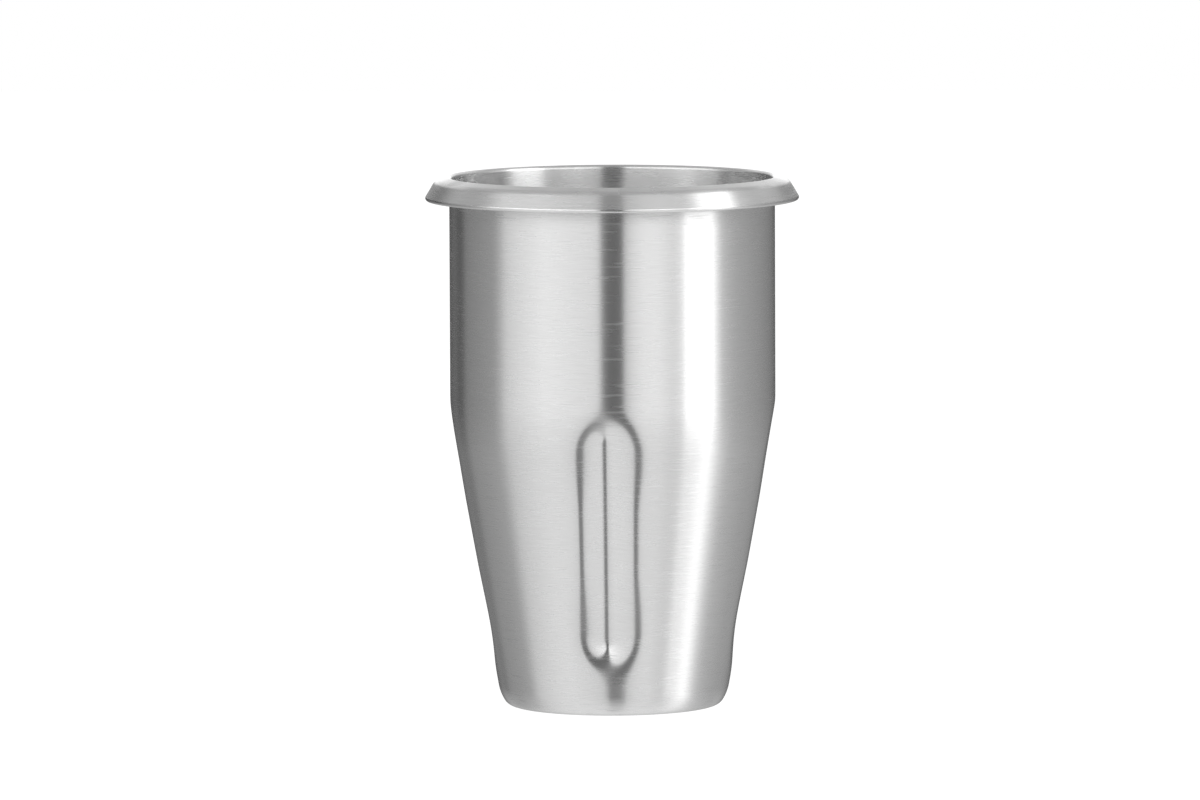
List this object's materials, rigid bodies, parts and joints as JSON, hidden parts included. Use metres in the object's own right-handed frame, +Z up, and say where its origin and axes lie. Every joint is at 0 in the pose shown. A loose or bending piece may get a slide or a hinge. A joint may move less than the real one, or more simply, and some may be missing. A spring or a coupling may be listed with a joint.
{
  "type": "mixing cup",
  "caption": "Steel mixing cup for a spindle drink mixer: straight upper wall, tapered lower wall with pressed vertical flutes, flat base and a turned-down, hemmed rim.",
  "frame": {"origin": "middle of the underside of the flat base", "axes": "+Z up along the cup's axis, out of the mouth; the four flutes lie on +X, +Y, -X and -Y"},
  "size_m": [0.1148, 0.1148, 0.163],
  "materials": {
    "brushed_steel": "satin, brushed around the cup"
  },
  "bodies": {
    "root": {"base": "brushed_steel", "fluted_wall": "brushed_steel", "straight_wall": "brushed_steel", "rim": "brushed_steel", "rim_hem": "brushed_steel"}
  },
  "joints": []
}
